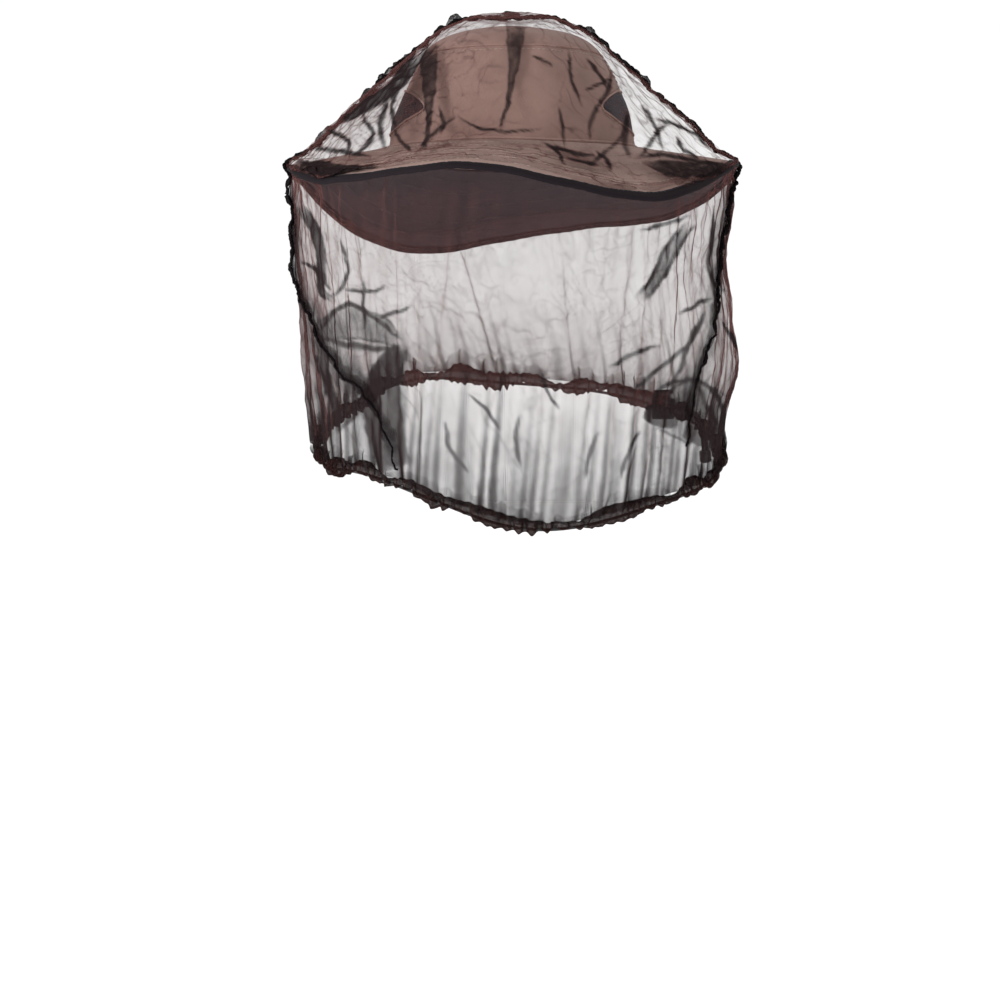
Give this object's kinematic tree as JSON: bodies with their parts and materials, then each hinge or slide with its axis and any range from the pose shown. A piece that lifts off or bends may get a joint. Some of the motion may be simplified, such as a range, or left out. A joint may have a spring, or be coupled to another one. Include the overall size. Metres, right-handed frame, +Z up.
{
  "type": "beekeeping veil",
  "caption": "Head net of fine dark mesh draped over a soft hat with a waved, bound brim; its gathered hem has a drawcord with a sprung cord lock.",
  "frame": {"origin": "centre of the hat's head opening, in the plane where the crown meets the brim", "axes": "+Z up through the crown; -Y towards the wearer's front; +X towards the wearer's left"},
  "size_m": [0.2992, 0.348, 0.342],
  "materials": {
    "hat_cloth": "taupe woven cloth",
    "vent_mesh": "dark open mesh",
    "sweatband": "dark knitted band",
    "stiffener": "felted interlining",
    "brim_lining": "dark woven lining",
    "brim_binding": "charcoal binding tape",
    "net": "fine black net",
    "seam_tape": "folded net seam",
    "hem_cloth": "gathered dark net and tape",
    "cord": "braided black cord",
    "lock_plastic": "moulded black",
    "spring_steel": "drawn wire"
  },
  "bodies": {
    "hat_and_veil": {"crown_front_panel": "hat_cloth", "crown_back_panel": "hat_cloth", "crown_top_panel": "hat_cloth", "vent_mesh_left": "vent_mesh", "vent_mesh_right": "vent_mesh", "sweatband": "sweatband", "brim_top_cloth": "hat_cloth", "brim_stiffener": "stiffener", "brim_lining": "brim_lining", "brim_binding": "brim_binding", "net_front_panel": "net", "net_back_panel": "net", "net_seam_tape": "seam_tape", "hem_casing_front": "hem_cloth", "hem_casing_back": "hem_cloth", "drawcord_loop": "cord", "drawcord_tail_inner": "cord", "drawcord_tail_outer": "cord", "drawcord_knot": "cord"},
    "cord_lock": {"cord_lock_barrel": "lock_plastic", "cord_lock_spring": "spring_steel"},
    "cord_lock_button": {"cord_lock_plunger": "lock_plastic"}
  },
  "joints": [
    {"name": "cord_lock_slide", "type": "slide", "parent": "hat_and_veil", "child": "cord_lock", "axis": [0.6027, 0.7979, 0], "range_m": [0, 0.016]},
    {"name": "cord_lock_press", "type": "slide", "parent": "cord_lock", "child": "cord_lock_button", "axis": [0, 0, -1], "range_m": [0, 0.0025], "stiffness_N_per_m": 300, "springref_m": -0.001, "deforming": ["cord_lock_spring"]}
  ]
}
